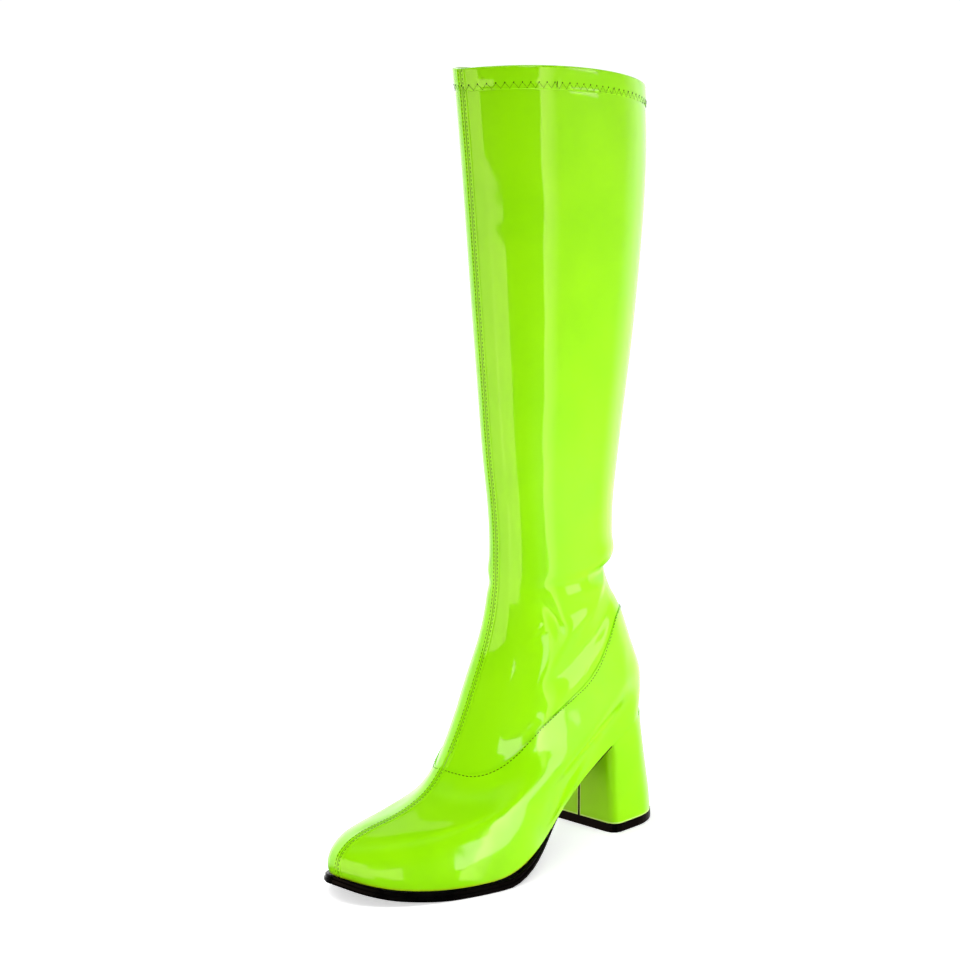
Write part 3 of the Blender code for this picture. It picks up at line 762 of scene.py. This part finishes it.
def makeUpper(s):
    straightenWaist(s)
    keepEdges(wallCopy, s)
    glued = [c for row in (s["lastRow"], s["lastRow"] + 1) for c in net[row]
             if wallCopy.data.vertices[int(c)].co.y < s["glueEnd"]]
    paintRows(wallCopy, "feather", glued)
    # The front seam's column, for its groove and for the painted shade in it
    paintRows(wallCopy, "front_seam", net[:s["lastRow"] + 1, 0])
    lines = [(np.array(points) / 1000, halfWidth / 1000, deep / 1000, True)
             for points, halfWidth, deep in creases.values()]
    hemMiddle = [(a + b) / 2 for a, b in zip(seams["hemTop"], seams["hemFoot"])]
    lines.append((hemMiddle, s["hemTroughWidth"], s["hemTrough"], False))
    columns = range(net.shape[1])
    edge = s["seamRow"]
    tucked = {int(net[edge + n][c]): cornerAt(edge + n, c, deep)
              for n, deep in ((0, s["seamStep"]), (1, s["seamStep"] + s["tuckStep"])) for c in columns}
    turned = {int(net[edge - 1][c]): cornerAt(edge, c, s["lap"]) for c in columns}
    lowered = {int(net[row][c]): cornerAt(len(net) - 1 - row, c, s["liningDepth"])
               for row in range(s["lastRow"] + 1, len(net)) for c in columns}
    leg = panel("leg_panel", range(s["foldRow"], edge + 2), tucked)
    foot = panel("foot_panel", range(edge - 1, s["lastRow"] + 2), turned)
    lining = panel("lining", range(s["lastRow"] + 1, len(net) - 1), lowered)
    for piece, levels, turnedIn in ((leg, s["smoothing"], 1), (foot, s["smoothing"], 1),
                                    (lining, s["liningSmoothing"], -1)):
        applied(piece, "SUBSURF", levels=levels, render_levels=levels)
        pressFolds(piece, lines, s, turnedIn)
        takeUp(piece)
        bpy.ops.object.shade_smooth_by_angle(angle=math.radians(s["smoothAngle"]))
    return leg, foot, lining


def seamLines(s):
    # The lines that the stitches follow, read from the wall before it is cut up
    edge, columns = s["seamRow"], net.shape[1]

    def beside(here, there, gap):
        return here + (there - here).normalized() * gap

    def below(row, further, column, gap):
        column %= columns
        return beside(cornerAt(row, column), cornerAt(row + further, column), gap)

    lines = {}
    for side in (1, -1):
        for name, rows in (("leg", range(0, edge - 1)), ("foot", range(edge, s["lastRow"] + 1))):
            lines[name, side] = [beside(cornerAt(row, 0), cornerAt(row, side), s["rowGap"])
                                 for row in rows]
    lines["side"] = [below(edge, 2, c, s["edgeGap"]) for c in range(1, columns)]
    for name in ("hemTop", "hemFoot"):
        lines[name] = [below(0, 4, c, s[name]) for c in range(0, columns + 1)]
    return lines


# Stitches

stitchShape = {
    "rowGap": 0.0013,       # from the front seam to each of its two rows
    "edgeGap": 0.0012,      # from the foot panel's edge to its row
    "hemTop": 0.0090, "hemFoot": 0.0119,    # from the rim to the zigzag's upper and lower turns
    "pitch": 0.0022, "length": 0.0015, "thick": 0.00033, "sideThick": 0.00046,
    "zigzag": 0.0049, "hemThick": 0.00026, "holeWidth": 0.00062,
    "holeShares": (0.7, 0.2),               # lengths of the upper and lower holes' painted shade, in stitches
    "hemJoin": (0.028, -0.0794, 0.4300), "hemJoinShare": 3.0,   # the dark bar where the zigzag closes, painted shade in its gap
    # a stitch narrows past its bends and dips at its ends, as shares of its length and thickness
    "sides": 6, "bendAt": 0.3, "endFrom": 0.45, "endWidth": 0.55, "endDip": 0.35,
}

seams = seamLines({**upperShape, **stitchShape})
legPanel, footPanel, lining = makeUpper(upperShape)
bpy.data.objects.remove(wallCopy)
finished(legPanel, limePatent)
finished(footPanel, limeFoot)
finished(lining, liningCloth)
seenOnlyBy("lamp_flank", footPanel)
for lampName in ("lamp_instep", "lamp_fold", "lamp_streak"):
    seenOnlyBy(lampName, legPanel)
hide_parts("upper")
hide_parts("upper")
for piece in (legPanel, footPanel, lining):
    print(piece.name, len(piece.data.polygons), "quads")


def surfaceOf(piece):
    # A way to find the place and the normal nearest to a point on a piece
    corners = [corner.co.copy() for corner in piece.data.vertices]
    tree = BVHTree.FromPolygons(corners, [face.vertices[:] for face in piece.data.polygons])
    return lambda point: tree.find_nearest(Vector(point))[:2]


def oneStitch(s):
    # One stitch: a short round bar, pulled in at both ends
    bpy.ops.mesh.primitive_cylinder_add(vertices=s["sides"], radius=s["thick"] / 2, depth=s["length"],
                                        end_fill_type="TRIFAN", rotation=(0, math.pi / 2, 0))
    stitch = bpy.context.object
    bpy.ops.object.transform_apply(rotation=True)
    bpy.ops.object.mode_set(mode="EDIT")
    for side in (1, -1):
        bpy.ops.mesh.select_all(action="SELECT")
        bpy.ops.mesh.bisect(plane_co=(side * s["length"] * s["bendAt"], 0, 0), plane_no=(1, 0, 0))
    bpy.ops.object.mode_set(mode="OBJECT")
    for corner in stitch.data.vertices:
        if abs(corner.co.x) > s["length"] * s["endFrom"]:
            corner.co.y *= s["endWidth"]
            corner.co.z = corner.co.z * s["endWidth"] - s["thick"] * s["endDip"]
    stitch.data.shade_smooth()
    return stitch


def sewn(name, pattern, spots, material):
    # Copies a stitch onto every spot: (place, direction, normal, length share)
    copies = []
    for place, direction, normal, share in spots:
        aside = normal.cross(direction).normalized()
        along = aside.cross(normal).normalized()
        turn = Matrix((along, aside, normal)).transposed().to_4x4()
        copy = bpy.data.objects.new(name, pattern.data.copy())
        bpy.context.collection.objects.link(copy)
        copy.data.transform(Matrix.Translation(place) @ turn @ Matrix.Diagonal((share, 1, 1, 1)))
        copies.append(copy)
    bpy.ops.object.select_all(action="DESELECT")
    for copy in copies:
        copy.select_set(True)
    bpy.context.view_layer.objects.active = copies[0]
    bpy.ops.object.join()
    row = bpy.context.object
    row.name = name
    print(name, len(spots), "stitches")
    finished(row, material)


def alongRow(line, nearest, pitch):
    # A stitch in every step of a line, laid on the nearest surface
    stops = smoothLine(line, pitch)
    spots = []
    for here, there in zip(stops[:-1], stops[1:]):
        place, normal = nearest((here + there) / 2)
        spots.append((place, Vector(there - here), normal, 1.0))
    return spots


def alongZigzag(top, foot, nearest, s):
    # Threads between the two edges of the hem's zigzag, and a dark mark at every turn, painted shade
    # in a needle hole
    upper, lower = smoothLine(top, s["zigzag"] / 2), smoothLine(foot, s["zigzag"] / 2)
    count = min(len(upper), len(lower))
    turns = [nearest(upper[k] if k % 2 == 0 else lower[k]) for k in range(count)]
    threads = []
    for (here, _), (there, _) in zip(turns[:-1], turns[1:]):
        place, normal = nearest((here + there) / 2)
        threads.append((place, there - here, normal, (there - here).length / s["length"]))
    holes = [(place, upward, normal, s["holeShares"][k % 2])
             for k, (place, normal) in enumerate(turns)]
    return threads, holes


upward = Vector((0, 0, 1))
patterns = {name: oneStitch({**stitchShape, "thick": stitchShape[name]})
            for name in ("thick", "hemThick", "sideThick", "holeWidth")}
onLeg, onFoot = surfaceOf(legPanel), surfaceOf(footPanel)
frontSpots = []
for side in (1, -1):
    frontSpots += alongRow(seams["leg", side], onLeg, stitchShape["pitch"])
    frontSpots += alongRow(seams["foot", side], onFoot, stitchShape["pitch"])
sideSpots = alongRow(seams["side"], onFoot, stitchShape["pitch"])
threads, holes = alongZigzag(seams["hemTop"], seams["hemFoot"], onLeg, stitchShape)
joinPlace, joinNormal = onLeg(stitchShape["hemJoin"])
holes.append((joinPlace, upward, joinNormal, stitchShape["hemJoinShare"]))
sewn("front_stitches", patterns["thick"], frontSpots, threadShadeFinish)
sewn("side_stitches", patterns["sideThick"], sideSpots, threadShadeFinish)
sewn("hem_stitches", patterns["hemThick"], threads, hemThreadShade)
# Dark marks on the hem: painted shade of its needle holes
sewn("hem_needle_holes", patterns["holeWidth"], holes, holeShadeFinish)
for pattern in patterns.values():
    bpy.data.objects.remove(pattern)


# Heel, sole and insole

heelShape = {
    # half widths of the join: its floor, its wall painted dark as painted shade, the painted highlight
    # beside it and that highlight's end
    "joinCuts": (0.0003, 0.00055, 0.0012, 0.0016), "joinDepth": 0.0006,
    "edgeCuts": (0.0007, 0.0011),   # how high the painted highlight along the lift is, and where it ends
    "slack": 1e-5, "smoothAngle": 50,
}


def makeHeel(s):
    # The cover with its join down the middle of the breast, painted shade in the join's groove, and
    # painted highlights beside it and along the lift
    heel = cadCopy("heel_block", "heel_cover")
    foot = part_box("heel_block")[0].z
    takeUp(heel)
    bpy.ops.object.mode_set(mode="EDIT")
    for x in s["joinCuts"]:
        for side in (x, -x):
            bpy.ops.mesh.select_all(action="SELECT")
            bpy.ops.mesh.bisect(plane_co=(side, 0, 0), plane_no=(1, 0, 0))
    for z in s["edgeCuts"]:
        bpy.ops.mesh.select_all(action="SELECT")
        bpy.ops.mesh.bisect(plane_co=(0, 0, foot + z), plane_no=(0, 0, 1))
    bpy.ops.object.mode_set(mode="OBJECT")
    join = heel.data.attributes.new("cover_join", "FLOAT", "POINT")
    edge = heel.data.attributes.new("cover_edge", "FLOAT", "POINT")
    floor, wall, highlightReach = s["joinCuts"][:3]
    for k, corner in enumerate(heel.data.vertices):
        aside = abs(corner.co.x) - s["slack"] if corner.co.y < 0 else math.inf
        onEdge = corner.co.z < foot + s["edgeCuts"][0] + s["slack"]
        # Painted shade over the join's groove
        join.data[k].value = float(aside < wall)
        # Painted highlights beside the join and along the lift
        edge.data[k].value = float(aside < highlightReach or onEdge)
        if aside < floor:
            corner.co.y += s["joinDepth"]
    takeUp(heel)
    bpy.ops.object.shade_smooth_by_angle(angle=math.radians(s["smoothAngle"]))
    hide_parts("heel_block")
    finished(heel, limeCover)
    print(heel.name, len(heel.data.polygons), "faces")


makeHeel(heelShape)
for nodeName, material in (("outsole", soleRubber), ("heel_lift", liftRubber),
                           ("insole", sockCloth)):
    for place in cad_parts[nodeName].material_slots:
        place.material = material

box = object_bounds()
for name, corners in (("cad", cadBox), ("visual", box)):
    print(name, [tuple(round(v, 4) for v in c) for c in corners])
